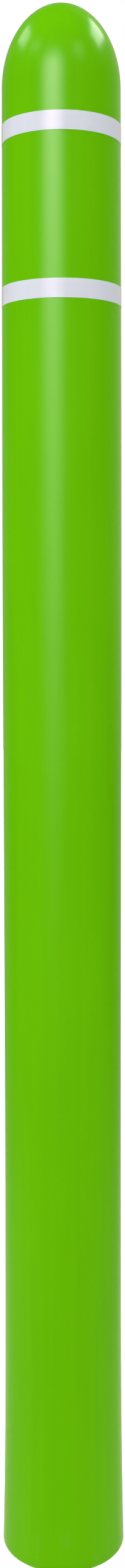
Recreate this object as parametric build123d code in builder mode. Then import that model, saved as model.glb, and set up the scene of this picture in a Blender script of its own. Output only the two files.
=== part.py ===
from build123d import *

import os
from math import cos, radians, sin

# A sleeved delineator post: a domed plastic sleeve with two reflective bands, over a steel pipe
# that drops on to a spigot foot.
#
# Millimetres, +Z up. The origin is the centre of the foot plate's underside, on the ground.
# The front faces -Y. The laps of the tape and the gaps in the foam face +Y.

# ---- Steel pipe: 4 inch nominal, Schedule 40 ----
pipe_diameter = 114.3
pipe_wall = 6.02
pipe_edge_chamfer = 1.0

# ---- Sleeve: play over the pipe at four heights, which shapes its outline ----
overall_height = 1626.0
sleeve_wall = 3.2
dome_height = 90.0  # from the shoulder to the crown
foot_play = 3.5
waist_play = 1.25  # the tightest place, low on the post
body_play = 3.15
shoulder_play = 3.0
waist_height = 318.0
body_below_shoulder = 358.0  # from the shoulder down to the widest place
foot_flare = 0.023  # how far the foot leans in for each millimetre up
rim_rounding = 0.8  # under half the wall

# ---- Reflective tape ----
tape_width = 20.0
tape_thickness = 0.3
upper_band_below_crown = 130.0  # crown to the band's top edge
band_spacing = 172.0
tape_lap_angle = 14.0

# ---- Foot: plate and spigot, bolted to the ground with three anchors ----
plate_thickness = 10.0
plate_chamfer = 1.0
spigot_clearance = 0.33
spigot_wall = 5.8
spigot_height = 150.0  # above the plate
spigot_lead_in = 2.0
weld_leg = 5.0
anchor_count = 3
anchor_hole_diameter = 12.0
anchor_washer_diameter = 21.0
anchor_washer_clearance = 0.5
drain_hole_diameter = 16.0

# ---- Lock screws: socket set screws through the pipe wall ----
lock_screw_count = 3
lock_screw_diameter = 10.0
lock_screw_clearance = 0.05
lock_screw_height = 75.0  # above the plate
lock_screw_tip_gap = 0.05
lock_screw_chamfer = 0.8
hex_socket_across_flats = 5.0
hex_socket_depth = 3.2

# ---- Pipe cap ----
cap_drop = 36.0  # from the shoulder down to the pipe's top
cap_flange = 3.0
cap_rise = 8.0
cap_skirt_depth = 25.0
cap_skirt_wall = 2.5
cap_fin_count = 3
cap_fin_height = 2.0
cap_fin_reach = 1.5
cap_fin_clearance = 0.13

# ---- Foam rings ----
foam_width = 50.0
foam_gap = 0.15  # between foam and sleeve
foam_joint_angle = 3.0
lower_foam_above_plate = 5.0
upper_foam_below_pipe_top = 60.0

# ---- Worked out from the above ----
pipe_radius = pipe_diameter / 2
pipe_bore_radius = pipe_radius - pipe_wall
foot_radius = pipe_radius + foot_play + sleeve_wall
waist_radius = pipe_radius + waist_play + sleeve_wall
body_radius = pipe_radius + body_play + sleeve_wall
shoulder_radius = pipe_radius + shoulder_play + sleeve_wall
shoulder_height = overall_height - dome_height
body_height = shoulder_height - body_below_shoulder
pipe_top = shoulder_height - cap_drop
upper_band_bottom = overall_height - upper_band_below_crown - tape_width
lower_band_bottom = upper_band_bottom - band_spacing
spigot_radius = pipe_bore_radius - spigot_clearance
spigot_bore_radius = spigot_radius - spigot_wall
anchor_circle_radius = (
    spigot_bore_radius - weld_leg - anchor_washer_clearance - anchor_washer_diameter / 2
)
lock_screw_radius = lock_screw_diameter / 2
lock_screw_level = plate_thickness + lock_screw_height
lock_screw_tip = spigot_radius + lock_screw_tip_gap
lower_foam_bottom = plate_thickness + lower_foam_above_plate
upper_foam_bottom = pipe_top - upper_foam_below_pipe_top - foam_width
seam_side = 90.0  # the angle of +Y, the back
beyond = 2 * foot_radius  # further out than anything


def dome_line(radius, rise, base_height):
    """A quarter of an ellipse, from its widest point up to the axis. Used inside BuildLine."""
    return Bezier(
        (radius, base_height),
        (radius, base_height + rise),
        (0, base_height + rise),
        weights=(1, cos(radians(45)), 1),
    )


def sleeve_section(inset, mode=Mode.ADD):
    """Adds the face between the axis and the sleeve's outline moved in by inset.

    Used inside BuildSketch.
    """
    stations = [
        (foot_radius - inset, 0),
        (waist_radius - inset, waist_height),
        (body_radius - inset, body_height),
        (shoulder_radius - inset, shoulder_height),
    ]
    with BuildLine() as outline:
        Spline(stations, tangents=[(-foot_flare, 1), (0, 1), (0, 1), (0, 1)])
        dome_line(shoulder_radius - inset, dome_height - inset, shoulder_height)
        Polyline((0, overall_height - inset), (0, 0), (foot_radius - inset, 0))
    make_face(outline.edges(), mode=mode)


def height_slice(bottom, height):
    """Keeps what lies between two heights. Used inside BuildSketch."""
    with Locations((0, bottom)):
        Rectangle(
            beyond, height, align=(Align.MIN, Align.MIN), mode=Mode.INTERSECT
        )


def write(piece, name):
    """Labels a finished piece and writes it as its node."""
    piece.part.label = name
    export_step(piece.part, f"parts/{name}.step")


def reflective_band(bottom):
    """A turn of tape on the sleeve, with a second layer where its ends lap at the back."""
    lap_start = Plane.XZ.rotated((0, 0, seam_side - tape_lap_angle / 2))
    with BuildPart() as band:
        with BuildSketch(Plane.XZ):
            sleeve_section(-tape_thickness)
            sleeve_section(0, mode=Mode.SUBTRACT)
            height_slice(bottom, tape_width)
        revolve(axis=Axis.Z)
        with BuildSketch(lap_start):
            sleeve_section(-2 * tape_thickness)
            sleeve_section(-tape_thickness, mode=Mode.SUBTRACT)
            height_slice(bottom, tape_width)
        revolve(axis=Axis.Z, revolution_arc=tape_lap_angle)
    return band


def foam_ring(bottom):
    """A strip of foam wrapped round the pipe, almost out to the sleeve, open where its ends meet."""
    strip_start = Plane.XZ.rotated((0, 0, seam_side + foam_joint_angle / 2))
    with BuildPart() as ring:
        with BuildSketch(strip_start):
            sleeve_section(sleeve_wall + foam_gap)
            Rectangle(
                pipe_radius, pipe_top, align=(Align.MIN, Align.MIN), mode=Mode.SUBTRACT
            )
            height_slice(bottom, foam_width)
        revolve(axis=Axis.Z, revolution_arc=360 - foam_joint_angle)
    return ring


def radial_plane(angle, radius, height):
    """A plane facing outwards at that angle, radius and height."""
    outward = (cos(radians(angle)), sin(radians(angle)), 0)
    return Plane(
        origin=(radius * outward[0], radius * outward[1], height),
        x_dir=(0, 0, 1),
        z_dir=outward,
    )


# ---- Cover: sleeve and its two bands ----

with BuildPart() as sleeve:
    with BuildSketch(Plane.XZ) as wall:
        sleeve_section(0)
        sleeve_section(sleeve_wall, mode=Mode.SUBTRACT)
        fillet(wall.vertices().group_by(Axis.Y)[0], rim_rounding)
    revolve(axis=Axis.Z)

upper_band = reflective_band(upper_band_bottom)
lower_band = reflective_band(lower_band_bottom)

# ---- Foot: plate, spigot and the weld that joins them ----

with BuildPart() as foot_plate:
    with BuildSketch():
        Circle(pipe_radius)
        Circle(drain_hole_diameter / 2, mode=Mode.SUBTRACT)
        with PolarLocations(anchor_circle_radius, anchor_count, start_angle=seam_side):
            Circle(anchor_hole_diameter / 2, mode=Mode.SUBTRACT)
    extrude(amount=plate_thickness)
    chamfer(
        foot_plate.faces().sort_by(Axis.Z)[0].outer_wire().edges(), plate_chamfer
    )

with BuildPart() as spigot_tube:
    with BuildSketch(Plane.XY.offset(plate_thickness)):
        Circle(spigot_radius)
        Circle(spigot_bore_radius, mode=Mode.SUBTRACT)
    extrude(amount=spigot_height)
    chamfer(
        spigot_tube.faces().sort_by(Axis.Z)[-1].outer_wire().edges(), spigot_lead_in
    )

with BuildPart() as spigot_weld:
    with BuildSketch(Plane.XZ):
        with BuildLine():
            Polyline(
                (spigot_bore_radius - weld_leg, plate_thickness),
                (spigot_bore_radius, plate_thickness),
                (spigot_bore_radius, plate_thickness + weld_leg),
                close=True,
            )
        make_face()
    revolve(axis=Axis.Z)

# ---- Core: pipe, its cap, its foam and the lock screws ----

with BuildPart() as core_pipe:
    with BuildSketch(Plane.XY.offset(plate_thickness)):
        Circle(pipe_radius)
        Circle(pipe_bore_radius, mode=Mode.SUBTRACT)
    extrude(amount=pipe_top - plate_thickness)
    chamfer(
        core_pipe.faces().sort_by(Axis.Z)[-1].inner_wires().edges(), pipe_edge_chamfer
    )
    for number in range(lock_screw_count):
        screw_angle = seam_side + number * 360 / lock_screw_count
        with BuildSketch(radial_plane(screw_angle, 0, lock_screw_level)):
            Circle(lock_screw_radius + lock_screw_clearance)
        extrude(amount=beyond, mode=Mode.SUBTRACT)

with BuildPart() as pipe_cap:
    skirt_radius = pipe_bore_radius - cap_fin_reach - cap_fin_clearance
    fin_spacing = cap_skirt_depth / (cap_fin_count + 1)
    with BuildSketch(Plane.XZ):
        with BuildLine():
            crown = dome_line(pipe_radius, cap_rise, pipe_top + cap_flange)
            Polyline(crown @ 1, (0, pipe_top), (pipe_radius, pipe_top), crown @ 0)
        make_face()
        with Locations((skirt_radius, pipe_top)):
            Rectangle(cap_skirt_wall, cap_skirt_depth, align=(Align.MAX, Align.MAX))
        with Locations((skirt_radius, pipe_top - cap_skirt_depth / 2)):
            with GridLocations(0, fin_spacing, 1, cap_fin_count):
                Rectangle(cap_fin_reach, cap_fin_height, align=(Align.MIN, Align.CENTER))
    revolve(axis=Axis.Z)

upper_foam_ring = foam_ring(upper_foam_bottom)
lower_foam_ring = foam_ring(lower_foam_bottom)


def lock_screw(angle):
    """A socket set screw that points at the axis, its head level with the pipe's outside."""
    with BuildPart() as screw:
        with BuildSketch(radial_plane(angle, lock_screw_tip, lock_screw_level)):
            Circle(lock_screw_radius)
        extrude(amount=pipe_radius - lock_screw_tip)
        chamfer(screw.edges().filter_by(GeomType.CIRCLE), lock_screw_chamfer)
        with BuildSketch(radial_plane(angle, pipe_radius, lock_screw_level)):
            RegularPolygon(hex_socket_across_flats / 2, 6, major_radius=False)
        extrude(amount=-hex_socket_depth, mode=Mode.SUBTRACT)
    return screw


# ---- One file for each node ----

os.makedirs("parts", exist_ok=True)
write(sleeve, "sleeve")
write(upper_band, "upper_band")
write(lower_band, "lower_band")
write(foot_plate, "foot_plate")
write(spigot_tube, "spigot_tube")
write(spigot_weld, "spigot_weld")
write(core_pipe, "core_pipe")
write(pipe_cap, "pipe_cap")
write(upper_foam_ring, "upper_foam_ring")
write(lower_foam_ring, "lower_foam_ring")
for number in range(lock_screw_count):
    screw_angle = seam_side + number * 360 / lock_screw_count
    write(lock_screw(screw_angle), f"lock_screw_{number + 1}")
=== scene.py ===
from math import asin, cos, pi, radians, sin, sqrt

import bpy
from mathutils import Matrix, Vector


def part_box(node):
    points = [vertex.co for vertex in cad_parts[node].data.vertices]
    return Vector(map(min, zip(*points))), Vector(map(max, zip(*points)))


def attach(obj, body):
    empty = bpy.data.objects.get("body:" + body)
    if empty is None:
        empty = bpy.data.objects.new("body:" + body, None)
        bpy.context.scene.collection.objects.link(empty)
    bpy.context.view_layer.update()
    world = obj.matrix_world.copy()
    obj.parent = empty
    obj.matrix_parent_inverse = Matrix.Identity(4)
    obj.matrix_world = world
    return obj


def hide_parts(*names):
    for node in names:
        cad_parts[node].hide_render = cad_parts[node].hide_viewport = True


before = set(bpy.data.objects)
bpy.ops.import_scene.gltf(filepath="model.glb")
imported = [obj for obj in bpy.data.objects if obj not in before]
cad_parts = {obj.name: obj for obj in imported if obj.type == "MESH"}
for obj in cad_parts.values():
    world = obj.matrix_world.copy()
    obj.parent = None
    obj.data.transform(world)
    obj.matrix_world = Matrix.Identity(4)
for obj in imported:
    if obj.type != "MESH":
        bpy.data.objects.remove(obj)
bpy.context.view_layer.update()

mm = 0.001

# ---- Foot plate ----
# A round steel plate, hot-dip galvanised, that stands on the ground inside the sleeve.
# Turned from bar, with a chamfer round the underside, three anchor holes and a drain.

plate_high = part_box("foot_plate")[1]
plate_radius = plate_high.x
plate_thickness = plate_high.z
plate_chamfer = 1.0 * mm
anchor_circle_radius = 29.0 * mm
anchor_hole_radius = 6.0 * mm
drain_hole_radius = 8.0 * mm
hole_edge_break = 0.4 * mm
plate_sides, drain_sides, anchor_hole_sides = 160, 64, 48
cut_margin = 1.0 * mm  # a cutter stands this far past the face that it cuts
seam_side = radians(90)  # the back of the post, +Y
third_of_a_turn = 2 * pi / 3


def shader_node(material, kind, settings=None, **inputs):
    """Adds a node to a material or the world, and sets or links its inputs.

    The spaces in an input's name are written as underscores.
    """
    made = material.node_tree.nodes.new("ShaderNode" + kind)
    for key, value in (settings or {}).items():
        setattr(made, key, value)
    for key, value in inputs.items():
        socket = made.inputs[key.replace("_", " ")]
        if isinstance(value, bpy.types.NodeSocket):
            material.node_tree.links.new(value, socket)
        else:
            socket.default_value = value
    return made


def object_pattern(material, kind, stretch=(1, 1, 1), settings=None, **inputs):
    """A noise or cell pattern laid through the piece in metres, stretched along its axes."""
    place = shader_node(material, "TexCoord")
    mapping = shader_node(
        material, "Mapping", Vector=place.outputs["Object"], Scale=stretch
    )
    return shader_node(
        material, kind, settings, Vector=mapping.outputs["Vector"], **inputs
    )


def colour_range(material, value, stops):
    """Turns a value from 0 to 1 into a colour, through stops of (place, linear colour)."""
    ramp = shader_node(material, "ValToRGB", Fac=value)
    band = ramp.color_ramp
    while len(band.elements) < len(stops):
        band.elements.new(0.5)
    for element, (place, colour) in zip(band.elements, stops):
        element.position = place
        element.color = (*colour, 1)
    return ramp.outputs["Color"]


def value_range(material, value, lowest, highest, start=0.0, end=1.0, interpolation="LINEAR"):
    """Spreads a value's stretch from start to end over lowest to highest."""
    spread = shader_node(
        material, "MapRange", {"interpolation_type": interpolation}, Value=value,
        From_Min=start, From_Max=end, To_Min=lowest, To_Max=highest,
    )
    return spread.outputs["Result"]


def value_math(material, operation, *terms, clamp=False):
    """Combines values. Each term is a number or another node's output."""
    made = shader_node(material, "Math", {"operation": operation, "use_clamp": clamp})
    for socket, term in zip(made.inputs, terms):
        if isinstance(term, bpy.types.NodeSocket):
            material.node_tree.links.new(term, socket)
        else:
            socket.default_value = term
    return made.outputs[0]


def relief(material, height, depth, under=None):
    """A bump of that depth in metres, laid over another one if there is one under it."""
    bump = shader_node(material, "Bump", Height=height, Distance=depth)
    if under is not None:
        material.node_tree.links.new(under, bump.inputs["Normal"])
    return bump.outputs["Normal"]


def new_material(name):
    """An empty material's own Principled shader, to set."""
    material = bpy.data.materials.new(name)
    material.use_nodes = True
    return material, material.node_tree.nodes["Principled BSDF"]


def link(material, output, shader, socket):
    """Joins a node's output to one of the shader's inputs."""
    material.node_tree.links.new(output, shader.inputs[socket])


def galvanised_steel():
    """Dull zinc: large soft crystals, slight greying in runs, and a faintly uneven skin."""
    material, shader = new_material("galvanised_steel")
    crystals = object_pattern(
        material, "TexVoronoi", (1, 1, 0.6), {"feature": "F1"}, Scale=190.0, Randomness=1.0
    )
    crystal_tone = shader_node(
        material, "SeparateColor", Color=crystals.outputs["Color"]
    ).outputs["Red"]
    runs = object_pattern(material, "TexNoise", (1, 1, 0.15), Scale=45.0, Detail=5.0)
    greying = value_range(material, runs.outputs["Fac"], 0.0, 0.55, 0.3, 0.7)
    tone = value_math(material, "MULTIPLY_ADD", crystal_tone, 0.45, greying)
    greys = [(0.0, (0.38, 0.40, 0.41)), (0.5, (0.46, 0.48, 0.49)), (1.0, (0.57, 0.59, 0.60))]
    link(material, colour_range(material, tone, greys), shader, "Base Color")
    link(material, value_range(material, tone, 0.58, 0.36), shader, "Roughness")
    grit = object_pattern(material, "TexNoise", Scale=900.0, Detail=4.0)
    skin = relief(material, grit.outputs["Fac"], 0.03 * mm)
    link(material, relief(material, crystal_tone, 0.01 * mm, skin), shader, "Normal")
    shader.inputs["Metallic"].default_value = 0.55
    return material


def activate(piece):
    """Makes one piece the only one selected."""
    bpy.ops.object.select_all(action="DESELECT")
    piece.select_set(True)
    bpy.context.view_layer.objects.active = piece


def solid_cylinder(name, radius, bottom, top, sides=128, middle=(0, 0)):
    """An upright cylinder between two heights."""
    bpy.ops.object.select_all(action="DESELECT")
    bpy.ops.mesh.primitive_cylinder_add(
        vertices=sides,
        radius=radius,
        depth=top - bottom,
        location=(middle[0], middle[1], (top + bottom) / 2),
    )
    piece = bpy.context.object
    piece.name = name
    bpy.ops.object.transform_apply(location=True, rotation=True, scale=True)
    return piece


def drill(piece, cutter):
    """Cuts one piece with another, which is used up."""
    activate(piece)
    cut = piece.modifiers.new("cut", "BOOLEAN")
    cut.operation = "DIFFERENCE"
    cut.object = cutter
    bpy.ops.object.modifier_apply(modifier=cut.name)
    bpy.data.objects.remove(cutter)


def break_edges(piece, width, above=radians(50), segments=2):
    """Rounds every edge that is sharper than an angle."""
    activate(piece)
    edge_break = piece.modifiers.new("edge break", "BEVEL")
    edge_break.width = width
    edge_break.segments = segments
    edge_break.limit_method = "ANGLE"
    edge_break.angle_limit = above
    bpy.ops.object.modifier_apply(modifier=edge_break.name)


def finish_piece(piece, material, body, slot, *nodes):
    """Smooth shading, its material, and its place in the frame."""
    activate(piece)
    bpy.ops.object.shade_smooth_by_angle(angle=radians(35))
    piece.data.materials.clear()
    piece.data.materials.append(material)
    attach(piece, body)
    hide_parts(*nodes)


zinc = galvanised_steel()
base_plate = solid_cylinder("base_plate", plate_radius, 0, plate_thickness, plate_sides)
bpy.ops.object.mode_set(mode="EDIT")
bpy.ops.mesh.select_all(action="DESELECT")
bpy.ops.object.mode_set(mode="OBJECT")
for edge in base_plate.data.edges:
    edge.select = all(base_plate.data.vertices[v].co.z < plate_thickness / 2 for v in edge.vertices)
bpy.ops.object.mode_set(mode="EDIT")
bpy.ops.mesh.select_mode(type="EDGE")
bpy.ops.mesh.bevel(offset=plate_chamfer, segments=1)
bpy.ops.object.mode_set(mode="OBJECT")
drill(
    base_plate,
    solid_cylinder(
        "drain", drain_hole_radius, -cut_margin, 2 * plate_thickness, drain_sides
    ),
)
for number in range(3):
    angle = seam_side + number * third_of_a_turn
    middle = (anchor_circle_radius * cos(angle), anchor_circle_radius * sin(angle))
    drill(
        base_plate,
        solid_cylinder(
            "hole", anchor_hole_radius, -cut_margin, 2 * plate_thickness, anchor_hole_sides,
            middle,
        ),
    )
break_edges(base_plate, hole_edge_break)
finish_piece(base_plate, zinc, "foot", "galvanised_steel", "foot_plate")

# ---- Spigot tube ----
# The short tube that the post's pipe drops over, galvanised with the plate.
# Sawn from tube stock, with a lead-in chamfer turned round its mouth.

spigot_low, spigot_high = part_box("spigot_tube")
spigot_radius = spigot_high.x
spigot_wall = 5.8 * mm
spigot_lead_in = 2.0 * mm
saw_edge = 0.5 * mm
spigot_sides = 128
weld_distance = 0.002 * mm  # points nearer than this are one point


def turned_piece(name, outline, steps, start=0.0, sweep=2 * pi, closed=True):
    """Draws an outline of (radius, height) points one by one, and spins it about the axis.

    A full turn is welded to itself. A part turn keeps its two end faces.
    """
    bpy.ops.object.select_all(action="DESELECT")
    bpy.ops.mesh.primitive_plane_add(size=mm, location=(0, 0, 0))
    piece = bpy.context.object
    piece.name = name
    bpy.ops.object.mode_set(mode="EDIT")
    bpy.ops.mesh.select_mode(type="VERT")
    bpy.ops.mesh.select_all(action="SELECT")
    bpy.ops.mesh.merge(type="CENTER")
    points = [Vector((r * cos(start), r * sin(start), z)) for r, z in outline]
    bpy.ops.transform.translate(value=points[0])
    path = points + [points[0]] if closed else points
    for here, there in zip(path, path[1:]):
        bpy.ops.mesh.extrude_region_move(TRANSFORM_OT_translate={"value": there - here})
    bpy.ops.mesh.select_all(action="SELECT")
    bpy.ops.mesh.remove_doubles(threshold=weld_distance)
    full_turn = abs(sweep - 2 * pi) < 1e-6
    if not full_turn:
        bpy.ops.mesh.edge_face_add()
    bpy.ops.mesh.spin(
        steps=steps, angle=sweep, center=(0, 0, 0), axis=(0, 0, -1), use_auto_merge=full_turn
    )
    bpy.ops.mesh.select_all(action="SELECT")
    bpy.ops.mesh.remove_doubles(threshold=weld_distance)
    bpy.ops.mesh.normals_make_consistent(inside=False)
    bpy.ops.object.mode_set(mode="OBJECT")
    return piece


def tube_outline(inner, outer, bottom, top, outer_break, inner_break=saw_edge):
    """A tube wall's section, with its four edges broken."""
    return [
        (inner, bottom + inner_break),
        (inner + inner_break, bottom),
        (outer - saw_edge, bottom),
        (outer, bottom + saw_edge),
        (outer, top - outer_break),
        (outer - outer_break, top),
        (inner + inner_break, top),
        (inner, top - inner_break),
    ]


spigot = turned_piece(
    "spigot",
    tube_outline(
        spigot_radius - spigot_wall, spigot_radius, spigot_low.z, spigot_high.z, spigot_lead_in
    ),
    spigot_sides,
)
finish_piece(spigot, zinc, "foot", "galvanised_steel", "spigot_tube")

# ---- Weld bead ----
# The fillet weld that holds the spigot to the plate, run round the inside of its foot.
# A convex bead with the ripple of a hand-fed arc, galvanised over.

weld_low, weld_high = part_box("spigot_weld")
weld_outer_radius = weld_high.x
weld_leg = weld_high.z - weld_low.z
weld_hollow = 0.12  # the face's middle is nearer the corner by this share of the leg
weld_face_steps = 6
ripples = 90
steps_per_ripple = 3
ripple_swell = 0.985  # the bead's inner face moves in to this share of its radius


def weld_outline():
    """A quarter-round bead: straight legs on plate and tube, a bulging face between them."""
    corner = (weld_outer_radius, weld_low.z)
    face = []
    for step in range(weld_face_steps + 1):
        angle = radians(90) * step / weld_face_steps
        reach = weld_leg * (1 - weld_hollow * sin(2 * angle))
        face.append((corner[0] - reach * sin(angle), corner[1] + reach * cos(angle)))
    return [corner] + face


weld_steps = steps_per_ripple * ripples
weld_bead = turned_piece("weld_bead", weld_outline(), weld_steps)
activate(weld_bead)
bpy.ops.object.mode_set(mode="EDIT")
bpy.ops.mesh.select_all(action="DESELECT")
bpy.ops.object.mode_set(mode="OBJECT")
for vertex in weld_bead.data.vertices:
    across = Vector((vertex.co.x, vertex.co.y))
    around = (across.angle_signed(Vector((1, 0))) / (2 * pi)) % 1
    on_crest = round(around * weld_steps) % steps_per_ripple == 0
    off_tube = across.length < weld_outer_radius - 0.2 * weld_leg
    off_plate = vertex.co.z > weld_low.z + 0.1 * weld_leg
    vertex.select = on_crest and off_tube and off_plate
bpy.ops.object.mode_set(mode="EDIT")
bpy.ops.transform.resize(
    value=(ripple_swell, ripple_swell, 1), center_override=(0, 0, weld_low.z)
)
bpy.ops.object.mode_set(mode="OBJECT")
finish_piece(weld_bead, zinc, "foot", "galvanised_steel", "spigot_weld")

# ---- Pipe ----
# The 4 inch steel pipe that carries the sleeve, hot-dip galvanised inside and out.
# Sawn to length, its top deburred for the cap, and drilled for three lock screws.

pipe_low, pipe_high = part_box("core_pipe")
pipe_radius = pipe_high.x
pipe_wall = 6.02 * mm
pipe_bore_radius = pipe_radius - pipe_wall
screw_hole_radius = 5.05 * mm
screw_low, screw_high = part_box("lock_screw_1")
screw_height = (screw_low.z + screw_high.z) / 2
hole_zone = 14 * mm  # rings this far above and below the holes keep the cut local
pipe_sides, screw_hole_sides = 144, 40


def pipe_outline():
    """The pipe wall's section, with a ring above and below the screw holes."""
    outline = tube_outline(pipe_bore_radius, pipe_radius, pipe_low.z, pipe_high.z, saw_edge, mm)
    outside = [(pipe_radius, screw_height - hole_zone), (pipe_radius, screw_height + hole_zone)]
    inside = [(pipe_bore_radius, z) for _, z in reversed(outside)]
    return outline[:4] + outside + outline[4:] + inside


def radial_cylinder(name, radius, inner, outer, angle, height, sides):
    """A cylinder that points away from the post's axis."""
    bpy.ops.object.select_all(action="DESELECT")
    middle = (inner + outer) / 2
    bpy.ops.mesh.primitive_cylinder_add(
        vertices=sides,
        radius=radius,
        depth=outer - inner,
        location=(middle * cos(angle), middle * sin(angle), height),
        rotation=(0, radians(90), angle),
    )
    piece = bpy.context.object
    piece.name = name
    bpy.ops.object.transform_apply(location=True, rotation=True, scale=True)
    return piece


pipe = turned_piece("pipe", pipe_outline(), pipe_sides)
for number in range(3):
    angle = seam_side + number * third_of_a_turn
    drill(
        pipe,
        radial_cylinder(
            "hole", screw_hole_radius,
            pipe_bore_radius - 2 * cut_margin, pipe_radius + 2 * cut_margin,
            angle, screw_height, screw_hole_sides,
        ),
    )
finish_piece(pipe, zinc, "core", "galvanised_steel", "core_pipe")

# ---- Lock screws ----
# Three M10 socket set screws in black oxide, which clamp the pipe on the spigot.
# Rolled thread, a hexagon socket outside, and the outer end level with the pipe.

screw_radius = 5.0 * mm
screw_inner_end = screw_low.y
screw_outer_end = screw_high.y
thread_pitch = 1.5 * mm
thread_depth = 0.8 * mm
socket_radius = 2.5 * mm / cos(radians(30))  # to the hexagon's corners
socket_depth = 3.2 * mm
screw_sides = 48


def black_oxide():
    """Oiled black oxide: near black, slightly brown where handling has rubbed it."""
    material, shader = new_material("black_oxide")
    rub = object_pattern(material, "TexNoise", Scale=300.0, Detail=4.0)
    tones = [(0.3, (0.018, 0.018, 0.02)), (0.75, (0.05, 0.045, 0.042))]
    link(material, colour_range(material, rub.outputs["Fac"], tones), shader, "Base Color")
    link(material, value_range(material, rub.outputs["Fac"], 0.28, 0.46), shader, "Roughness")
    shader.inputs["Metallic"].default_value = 0.8
    return material


def thread_outline(length):
    """Half of a screw's section along its axis, from the point's centre to the head's centre."""
    crest_gap = thread_pitch / 2
    outline = [(0, 0), (screw_radius - thread_depth, 0)]
    height = crest_gap
    while height < length - crest_gap:
        outline.append((screw_radius, height))
        outline.append((screw_radius - thread_depth, height + crest_gap))
        height += thread_pitch
    outline.append((screw_radius - 0.4 * thread_depth, length - 0.3 * crest_gap))
    outline.append((screw_radius - thread_depth, length))
    return outline + [(0, length)]


oxide = black_oxide()
screw_length = screw_outer_end - screw_inner_end
first_screw = turned_piece(
    "set_screw_1", thread_outline(screw_length), screw_sides, closed=False
)
drill(
    first_screw,
    solid_cylinder(
        "socket", socket_radius, screw_length - socket_depth, screw_length + cut_margin, 6
    ),
)
first_screw.rotation_euler = (radians(-90), 0, 0)
first_screw.location = (0, screw_inner_end, screw_height)
activate(first_screw)
bpy.ops.object.transform_apply(location=True, rotation=True, scale=True)
set_screws = [first_screw]
for number in (1, 2):
    activate(first_screw)
    bpy.ops.object.duplicate(linked=False)
    copy = bpy.context.object
    copy.name = f"set_screw_{number + 1}"
    copy.rotation_euler = (0, 0, number * third_of_a_turn)
    bpy.ops.object.transform_apply(location=True, rotation=True, scale=True)
    set_screws.append(copy)
for number, screw in enumerate(set_screws, 1):
    finish_piece(screw, oxide, f"screw_{number}", "screw_steel", f"lock_screw_{number}")

# ---- Pipe cap ----
# A black polyethylene plug that keeps water out of the pipe, injection moulded.
# A low crown over a flange as wide as the pipe, and a skirt with three gripping fins.

cap_low, cap_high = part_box("pipe_cap")
cap_flange = 3.0 * mm
cap_flange_rounding = 0.8 * mm
cap_fin_reach = 1.5 * mm
cap_fin_height = 2.0 * mm
cap_fin_play = 0.13 * mm
cap_skirt_radius = pipe_bore_radius - cap_fin_reach - cap_fin_play
cap_skirt_wall = 2.5 * mm
cap_gate_radius = 2.5 * mm
cap_gate_dip = 0.4 * mm
cap_crown_end = radians(84)
cap_crown_steps = 14
cap_fin_profile = [  # share of the reach, and of the height from the top, round one fin
    (0.0, 0.0), (0.8, 0.25), (1.0, 0.45), (0.6, 0.8), (0.0, 1.0),
]
cap_sides = 128


def cap_plastic():
    """Black polyethylene with a fine spark-eroded texture, a little grey where it is rubbed."""
    material, shader = new_material("cap_plastic")
    rub = object_pattern(material, "TexNoise", Scale=60.0, Detail=6.0)
    tones = [(0.35, (0.012, 0.012, 0.013)), (0.8, (0.03, 0.03, 0.031))]
    link(material, colour_range(material, rub.outputs["Fac"], tones), shader, "Base Color")
    link(material, value_range(material, rub.outputs["Fac"], 0.42, 0.6), shader, "Roughness")
    spark = object_pattern(material, "TexNoise", Scale=2500.0, Detail=2.0)
    link(material, relief(material, spark.outputs["Fac"], 0.02 * mm), shader, "Normal")
    return material


def cap_outline():
    """The plug's section, from the gate dimple at the top, over flange and fins, to the inside."""
    seat = pipe_high.z
    crown_base = seat + cap_flange
    crown_rise = cap_high.z - crown_base
    outline = [(0, cap_high.z - cap_gate_dip), (cap_gate_radius, cap_high.z - cap_gate_dip)]
    first = asin(cap_gate_radius * 1.3 / pipe_radius)
    for step in range(cap_crown_steps + 1):
        angle = first + (cap_crown_end - first) * step / cap_crown_steps
        outline.append((pipe_radius * sin(angle), crown_base + crown_rise * cos(angle)))
    outline += [
        (pipe_radius, crown_base),
        (pipe_radius, seat + cap_flange_rounding),
        (pipe_radius - cap_flange_rounding, seat),
        (cap_skirt_radius, seat),
    ]
    spacing = (seat - cap_low.z) / 4
    for number in range(3):
        top = seat - (number + 1) * spacing + cap_fin_height / 2
        outline += [
            (cap_skirt_radius + out * cap_fin_reach, top - down * cap_fin_height)
            for out, down in cap_fin_profile
        ]
    outline += [
        (cap_skirt_radius, cap_low.z + saw_edge),
        (cap_skirt_radius - saw_edge, cap_low.z),
        (cap_skirt_radius - cap_skirt_wall, cap_low.z),
        (cap_skirt_radius - cap_skirt_wall, seat),
        (0, seat),
    ]
    return outline


cap = turned_piece("cap", cap_outline(), cap_sides, closed=False)
finish_piece(cap, cap_plastic(), "cap", "cap_plastic", "pipe_cap")

# ---- Sleeve ----
# The lime green polyethylene shell that covers pipe and foot, moulded in one piece with its dome.
# It narrows a little above the foot, swells to its widest two thirds up, and flares at the rim.

sleeve_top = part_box("sleeve")[1].z
sleeve_wall = 3.2 * mm
dome_height = 90.0 * mm
shoulder_height = sleeve_top - dome_height
rim_rounding = 0.8 * mm
sleeve_sides = 192
dome_steps = 40
foot_zone, foot_ring_gap, ring_gap = 100 * mm, 10 * mm, 32 * mm
sleeve_stations = [  # height, radius and lean, from the foot to the shoulder
    (0.0, 63.85 * mm, -0.023),
    (318.0 * mm, 61.6 * mm, 0.0),
    (1178.0 * mm, 63.5 * mm, 0.0),
    (shoulder_height, 63.35 * mm, 0.0),
]


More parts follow.
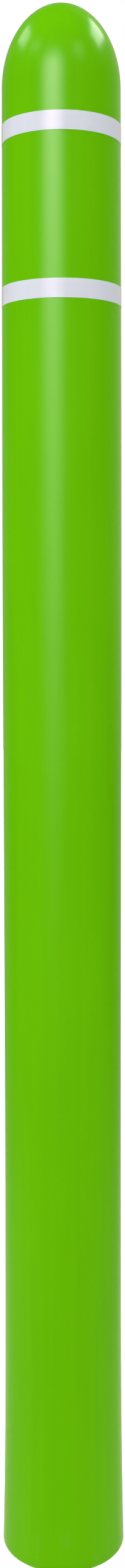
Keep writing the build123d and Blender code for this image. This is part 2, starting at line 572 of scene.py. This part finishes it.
def sleeve_radius(height):
    """The outside radius at a height: a smooth curve through the stations, then the dome."""
    if height >= shoulder_height:
        climb = (height - shoulder_height) / dome_height
        return sleeve_stations[-1][1] * sqrt(max(0.0, 1 - climb * climb))
    for low, high in zip(sleeve_stations, sleeve_stations[1:]):
        if height <= high[0]:
            break
    span = high[0] - low[0]
    t = (height - low[0]) / span
    return (
        (2 * t**3 - 3 * t**2 + 1) * low[1]
        + (t**3 - 2 * t**2 + t) * span * low[2]
        + (3 * t**2 - 2 * t**3) * high[1]
        + (t**3 - t**2) * span * high[2]
    )


def sleeve_skin(inset):
    """One skin of the shell, from the rim up to the crown, moved in by inset."""
    heights = [rim_rounding]
    while heights[-1] < shoulder_height - 1.25 * ring_gap:
        heights.append(heights[-1] + (foot_ring_gap if heights[-1] < foot_zone else ring_gap))
    skin = [(sleeve_radius(z) - inset, z) for z in heights]
    for step in range(dome_steps + 1):
        angle = radians(90) * step / dome_steps
        skin.append((
            (sleeve_stations[-1][1] - inset) * cos(angle),
            shoulder_height + (dome_height - inset) * sin(angle),
        ))
    skin[-1] = (0.0, sleeve_top - inset)
    return skin


def rounded_rim():
    """The rim's section between inner and outer skin, rounded at both corners."""
    outer = sleeve_radius(rim_rounding)
    corners = []
    for middle, first in ((outer - sleeve_wall + rim_rounding, 180), (outer - rim_rounding, 270)):
        for step in range(5):
            angle = radians(first + 90 * step / 4)
            corners.append((
                middle + rim_rounding * cos(angle),
                rim_rounding + rim_rounding * sin(angle),
            ))
    return corners


def lime_polyethylene():
    """Satin lime green: pigment clouds, faint mould streaks, orange peel and light scuffs."""
    material, shader = new_material("lime_polyethylene")
    clouds = object_pattern(material, "TexNoise", (1, 1, 0.4), Scale=14.0, Detail=4.0)
    streaks = object_pattern(material, "TexNoise", (1, 1, 0.02), Scale=130.0, Detail=3.0)
    clouding = value_range(material, clouds.outputs["Fac"], 0.0, 0.65)
    tone = value_math(material, "MULTIPLY_ADD", streaks.outputs["Fac"], 0.35, clouding)
    greens = [(0.25, (0.148, 0.565, 0.0)), (0.75, (0.173, 0.63, 0.0))]
    pigment = colour_range(material, tone, greens)

    place = shader_node(material, "TexCoord")
    height = shader_node(material, "SeparateXYZ", Vector=place.outputs["Object"]).outputs["Z"]
    near_rim = value_range(material, height, 1.0, 0.0, 1.5 * mm, 60 * mm)
    rubs = object_pattern(material, "TexNoise", (1, 1, 0.35), Scale=75.0, Detail=8.0)
    knocks = object_pattern(material, "TexNoise", (1, 1, 0.55), Scale=43.0, Detail=6.0)
    scuffs = value_math(
        material, "MULTIPLY_ADD",
        value_range(material, rubs.outputs["Fac"], 0.0, 0.32, 0.54, 0.74),
        near_rim,
        value_range(material, knocks.outputs["Fac"], 0.0, 0.25, 0.74, 0.82),
        clamp=True,
    )
    worn = shader_node(material, "Mix", {"data_type": "RGBA"})
    for number, term in ((0, scuffs), (6, pigment)):  # the factor, and the colour where unworn
        material.node_tree.links.new(term, worn.inputs[number])
    worn.inputs[7].default_value = (0.27, 0.58, 0.10, 1)
    link(material, worn.outputs[2], shader, "Base Color")

    satin = value_range(material, tone, 0.18, 0.24)
    roughness = value_math(material, "MULTIPLY_ADD", scuffs, 0.25, satin)
    link(material, roughness, shader, "Roughness")

    ripple = object_pattern(material, "TexNoise", (1, 1, 0.5), Scale=38.0, Detail=1.0)
    peel = object_pattern(material, "TexNoise", Scale=420.0, Detail=3.0)
    waves = relief(material, ripple.outputs["Fac"], 0.12 * mm)
    link(material, relief(material, peel.outputs["Fac"], 0.022 * mm, waves), shader, "Normal")
    shader.inputs["IOR"].default_value = 1.5
    return material


def sleeve_inside():
    """The same plastic where it met no mould: matt, slightly powdery and paler."""
    material, shader = new_material("sleeve_inside")
    powder = object_pattern(material, "TexNoise", Scale=220.0, Detail=6.0)
    greens = [(0.3, (0.14, 0.47, 0.01)), (0.7, (0.17, 0.53, 0.02))]
    link(material, colour_range(material, powder.outputs["Fac"], greens), shader, "Base Color")
    link(material, value_range(material, powder.outputs["Fac"], 0.6, 0.75), shader, "Roughness")
    link(material, relief(material, powder.outputs["Fac"], 0.15 * mm), shader, "Normal")
    return material


outer_skin = sleeve_skin(0)
inner_skin = sleeve_skin(sleeve_wall)
shell = turned_piece(
    "post_sleeve", list(reversed(inner_skin)) + rounded_rim() + outer_skin, sleeve_sides,
    closed=False,
)
finish_piece(shell, lime_polyethylene(), "cover", "sleeve_plastic", "sleeve")
shell.data.materials.append(sleeve_inside())
for face in shell.data.polygons:
    across = Vector((face.center.x, face.center.y))
    depth = sleeve_radius(face.center.z) - across.length
    below_crown = face.center.z < sleeve_top - 0.5 * sleeve_wall
    if face.normal.dot(Vector((across.x, across.y, 0.2))) < 0 and below_crown and depth > mm:
        face.material_index = 1

# ---- Foam rings ----
# Two strips of charcoal closed-cell foam round the pipe, which keep the sleeve from rattling.
# Cut from self-adhesive roll: the ends nearly meet at the back, and the outer corners are soft.

foam_clearance = 0.15 * mm
foam_joint = radians(3)
foam_corner = 1.2 * mm
foam_glue = 0.02 * mm
foam_steps = 120


def closed_cell_foam():
    """Charcoal foam: fine open pits where the cells were cut, each darkened towards its middle with
    painted shade.
    """
    material, shader = new_material("closed_cell_foam")
    cells = object_pattern(material, "TexVoronoi", Scale=900.0, Randomness=1.0)
    # Painted shade: the colour darkens towards each cell's middle, where the bump sinks deepest.
    tones = [(0.0, (0.012, 0.012, 0.014)), (0.6, (0.055, 0.055, 0.06))]
    link(
        material, colour_range(material, cells.outputs["Distance"], tones), shader, "Base Color"
    )
    link(material, relief(material, cells.outputs["Distance"], 0.25 * mm), shader, "Normal")
    shader.inputs["Roughness"].default_value = 0.92
    return material


foam = closed_cell_foam()
for name, node in (("upper_foam", "upper_foam_ring"), ("lower_foam", "lower_foam_ring")):
    foam_low, foam_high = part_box(node)
    bottom, top = foam_low.z, foam_high.z
    inner = pipe_radius + foam_glue

    def foam_outer(height):
        """The ring's outside radius, just clear of the sleeve's inside."""
        return sleeve_radius(height) - sleeve_wall - foam_clearance

    section = [
        (inner, bottom),
        (foam_outer(bottom) - foam_corner, bottom),
        (foam_outer(bottom) - 0.3 * foam_corner, bottom + 0.3 * foam_corner),
        (foam_outer(bottom + foam_corner), bottom + foam_corner),
        (foam_outer((bottom + top) / 2), (bottom + top) / 2),
        (foam_outer(top - foam_corner), top - foam_corner),
        (foam_outer(top) - 0.3 * foam_corner, top - 0.3 * foam_corner),
        (foam_outer(top) - foam_corner, top),
        (inner, top),
    ]
    ring = turned_piece(
        name, section, foam_steps, seam_side + foam_joint / 2, 2 * pi - foam_joint
    )
    finish_piece(ring, foam, "core", "foam", node)

# ---- Reflective bands ----
# Two turns of silvery white reflective film near the top, each lapped on itself at the back.
# A clear glossy face over fine glass beads, cut from a 20 mm roll and pressed on by hand.

film_thickness = 0.3 * mm
film_edge = 0.08 * mm
film_seat = 0.05 * mm  # the film's underside lies this far into the plastic
film_lap = radians(14)
film_lap_steps = 12


def reflective_film():
    """Beaded reflective film under a clear face: cool white, with faint beads."""
    material, shader = new_material("reflective_film")
    beads = object_pattern(material, "TexVoronoi", Scale=1800.0, Randomness=0.6)
    mottle = object_pattern(material, "TexNoise", (1, 1, 0.3), Scale=60.0, Detail=5.0)
    mottling = value_range(material, mottle.outputs["Fac"], 0.3, 1.0)
    tone = value_math(material, "MULTIPLY_ADD", beads.outputs["Distance"], -0.35, mottling)
    silver = [(0.1, (0.785, 0.81, 0.89)), (0.9, (0.875, 0.90, 0.975))]
    link(material, colour_range(material, tone, silver), shader, "Base Color")
    link(material, value_range(material, mottle.outputs["Fac"], 0.03, 0.07), shader, "Roughness")
    link(material, relief(material, beads.outputs["Distance"], 0.002 * mm), shader, "Normal")
    shader.inputs["IOR"].default_value = 1.55
    return material


film = reflective_film()
for name, node in (("upper_reflector", "upper_band"), ("lower_reflector", "lower_band")):
    film_low, film_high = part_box(node)
    bottom, top = film_low.z, film_high.z

    def film_section(inner, outer):
        """The film's section between two distances from the plastic, its edges barely broken."""
        return [
            (sleeve_radius(bottom) + inner, bottom),
            (sleeve_radius(bottom) + outer - film_edge, bottom),
            (sleeve_radius(bottom) + outer, bottom + film_edge),
            (sleeve_radius(top) + outer, top - film_edge),
            (sleeve_radius(top) + outer - film_edge, top),
            (sleeve_radius(top) + inner, top),
        ]

    band = turned_piece(name, film_section(-film_seat, film_thickness), sleeve_sides)
    lap = turned_piece(
        "lap", film_section(film_thickness - film_seat, 2 * film_thickness), film_lap_steps,
        seam_side - film_lap / 2, film_lap,
    )
    bpy.ops.object.select_all(action="DESELECT")
    lap.select_set(True)
    band.select_set(True)
    bpy.context.view_layer.objects.active = band
    bpy.ops.object.join()
    finish_piece(band, film, "cover", "reflective_tape", node)

# ---- Studio ----
# A pale floor in a white room, one tall soft light in front on the left, and small soft lights
# above on both sides. Ambient light reaches matt surfaces from all round.

eye_height = 1.0086
camera_distance = 1.658
lens_length = 35.8
camera_roll = radians(0.095)
camera_shift = (0.0003, -0.12625)  # share of the picture's longer side

camera_data = bpy.data.cameras.new("camera")
camera_data.sensor_width = 36
camera_data.lens = lens_length
camera_data.shift_x, camera_data.shift_y = camera_shift
camera = bpy.data.objects.new("camera", camera_data)
camera.location = (0, -camera_distance, eye_height)
camera.rotation_euler = (radians(90), camera_roll, 0)
bpy.context.scene.collection.objects.link(camera)
bpy.context.scene.camera = camera

floor_size = 16
floor_gap = 0.4 * mm  # keeps the floor off the rim
floor_tone = 0.86
floor_glow = 0.45

bpy.ops.object.select_all(action="DESELECT")
bpy.ops.mesh.primitive_plane_add(size=floor_size, location=(0, 0, -floor_gap))
floor = bpy.context.object
floor.name = "floor"
floor.visible_glossy = False
floor.visible_diffuse = False
floor.visible_shadow = False
floor_material, floor_shader = new_material("pale_floor")
floor_shader.inputs["Base Color"].default_value = (floor_tone, floor_tone, floor_tone, 1)
floor_shader.inputs["Roughness"].default_value = 0.9
floor_shader.inputs["Specular IOR Level"].default_value = 0.1
floor_shader.inputs["Emission Color"].default_value = (1, 1, 1, 1)
floor_shader.inputs["Emission Strength"].default_value = floor_glow
floor.data.materials.append(floor_material)


def aim(piece, place, target):
    """Puts a light or a screen at a place, facing a target."""
    piece.location = place
    piece.rotation_euler = (Vector(target) - Vector(place)).to_track_quat("-Z", "Y").to_euler()


def around_post(azimuth, elevation, distance, height):
    """A place seen from a point on the axis. Azimuth 0 is the front, and grows towards +X."""
    level = distance * cos(elevation)
    return Vector((level * sin(azimuth), -level * cos(azimuth), height + distance * sin(elevation)))


# The tall light is a glowing screen, dark at its foot and brightest above the post's top.
screen_azimuth = radians(-16.5)
screen_distance = 2.2
screen_width = 2.35
screen_feather = 1.15
screen_bottom, screen_top = 0.1, 3.7
screen_brightest = 6.5
screen_tint = (1.14, 0.86, 1.06)
screen_glow = [  # share of the way up, and share of the greatest brightness
    (0.0, 0.0), (0.1, 0.04), (0.35, 0.3), (0.5, 0.52), (0.65, 1.0), (0.8, 0.4), (0.95, 0.0),
]
bpy.ops.object.select_all(action="DESELECT")
bpy.ops.mesh.primitive_plane_add(size=1, location=(0, 0, 0))
screen = bpy.context.object
screen.name = "tall_light"
screen.scale = (screen_width, screen_top - screen_bottom, 1)
middle = around_post(screen_azimuth, 0, screen_distance, (screen_bottom + screen_top) / 2)
aim(screen, middle, (0, 0, middle.z))
bpy.ops.object.transform_apply(location=True, rotation=True, scale=True)
screen.visible_camera = False
screen.visible_diffuse = False
screen.visible_shadow = False
glow_material = bpy.data.materials.new("tall_light")
glow_material.use_nodes = True
glow_nodes = glow_material.node_tree
glow_nodes.nodes.remove(glow_nodes.nodes["Principled BSDF"])
place = shader_node(glow_material, "TexCoord")
mapping = shader_node(
    glow_material, "Mapping", Vector=place.outputs["Object"], Rotation=(0, 0, -screen_azimuth)
)
spot = shader_node(glow_material, "SeparateXYZ", Vector=mapping.outputs["Vector"])
climb = value_range(glow_material, spot.outputs["Z"], 0.0, 1.0, screen_bottom, screen_top)
levels = colour_range(
    glow_material, climb,
    [(at, tuple(level * share for share in screen_tint)) for at, level in screen_glow],
)
feather = value_range(
    glow_material, value_math(glow_material, "ABSOLUTE", spot.outputs["X"]),
    screen_brightest, 0.0, screen_width / 2 - screen_feather, screen_width / 2, "SMOOTHSTEP",
)
glow = shader_node(glow_material, "Emission", Color=levels, Strength=feather)
glow_nodes.links.new(
    glow.outputs["Emission"], glow_nodes.nodes["Material Output"].inputs["Surface"]
)
screen.data.materials.append(glow_material)

dome_middle = sleeve_top - dome_height / 2
lamp_tint = (1.0, 0.88, 0.92)
post_middle = 0.8
sky_distance = 4.0
sky_spread = radians(95)


def soft_light(name, azimuth, elevation, distance, width, height, brightness, gloss=True):
    """A rectangular light of even brightness, aimed at the dome from angles in degrees.

    One kind is seen only in the gloss, and the other lights only the matt colour.
    """
    light = bpy.data.lights.new(name, "AREA")
    light.shape = "RECTANGLE"
    light.size = width
    light.size_y = height
    light.energy = brightness * pi * width * height
    light.color = lamp_tint if gloss else (1.0, 1.0, 1.0)
    light.cycles.use_multiple_importance_sampling = gloss
    lamp = bpy.data.objects.new(name, light)
    aim(
        lamp,
        around_post(radians(azimuth), radians(elevation), distance, dome_middle),
        (0, 0, dome_middle),
    )
    lamp.visible_camera = False
    lamp.visible_glossy = gloss
    lamp.visible_diffuse = not gloss
    bpy.context.scene.collection.objects.link(lamp)


def soft_sky(name, azimuth, elevation, brightness):
    """Broad light from one side of the room, which lights only the matt colour."""
    light = bpy.data.lights.new(name, "SUN")
    light.angle = sky_spread
    light.energy = brightness * pi
    light.cycles.use_multiple_importance_sampling = False
    lamp = bpy.data.objects.new(name, light)
    aim(
        lamp,
        around_post(radians(azimuth), radians(elevation), sky_distance, post_middle),
        (0, 0, post_middle),
    )
    lamp.visible_glossy = False
    bpy.context.scene.collection.objects.link(lamp)


soft_light("back_left", -107, 44, 3.0, 1.45, 0.65, 3.0)
soft_light("back_right", 114, 46, 3.0, 1.8, 0.75, 4.9)
soft_light("side_left", -60, 41, 3.0, 1.0, 0.5, 1.0)
soft_light("side_right", 38, 38, 3.0, 1.0, 0.75, 0.9)
soft_light("fill", -40, 9, 2.6, 1.4, 1.6, 1.65, gloss=False)
soft_sky("left_wall", -60, 5, 0.46)
soft_sky("right_wall", 60, 5, 0.40)
soft_sky("back_wall", 180, 5, 0.48)
soft_sky("ceiling", 0, 89, 0.7)
soft_sky("floor_bounce", 0, -89, 0.3)

world = bpy.data.worlds.new("white_room")
world.use_nodes = True
bpy.context.scene.world = world
world.cycles.sampling_method = "NONE"
world.node_tree.nodes.clear()
ray = shader_node(world, "LightPath")
direction = shader_node(world, "TexCoord")
axes = shader_node(world, "SeparateXYZ", Vector=direction.outputs["Generated"])


def fade(axis, start, end, lowest, highest):
    """A brightness that changes smoothly along one axis of the direction looked in."""
    return value_range(world, axes.outputs[axis], lowest, highest, start, end, "SMOOTHSTEP")


# What the gloss sees: a dark room whose cream walls are lighter behind the post, and a dim floor.
cream = (1.0, 0.95, 0.62)
walls = fade("Y", 0.4, 0.92, 0.015, 0.32)
on_the_right = value_math(
    world, "MULTIPLY", fade("X", 0.0, 0.3, 0.0, 1.0), fade("Z", -0.15, 0.1, 0.0, 1.0)
)
right_glow = value_math(world, "MULTIPLY", fade("Y", -0.05, 0.5, 0.0, 0.21), on_the_right)
ground = value_math(
    world, "MULTIPLY", fade("Y", -1.0, 0.5, 0.02, 0.34), fade("Z", -0.27, -0.46, 0.0, 1.0)
)
reflected = value_math(world, "ADD", value_math(world, "ADD", walls, right_glow), ground)
ambient_brightness = 0.1
seen_brightness = 1.0


def background(strength, colour=(1, 1, 1)):
    """A background of one colour, whose strength is a number or varies."""
    sky = shader_node(world, "Background", Color=(*colour, 1), Strength=strength)
    return sky.outputs["Background"]


def choose(test, otherwise, chosen):
    """One background for the rays that pass the test, and another for the rest."""
    mix = shader_node(world, "MixShader")
    for socket, output in zip(mix.inputs, (test, otherwise, chosen)):
        world.node_tree.links.new(output, socket)
    return mix.outputs["Shader"]


ambient = choose(
    ray.outputs["Is Glossy Ray"], background(ambient_brightness), background(reflected, cream)
)
surroundings = choose(ray.outputs["Is Camera Ray"], ambient, background(seen_brightness))
shader_node(world, "OutputWorld", Surface=surroundings)

bpy.context.scene.view_settings.view_transform = "Standard"
bpy.context.scene.view_settings.look = "None"
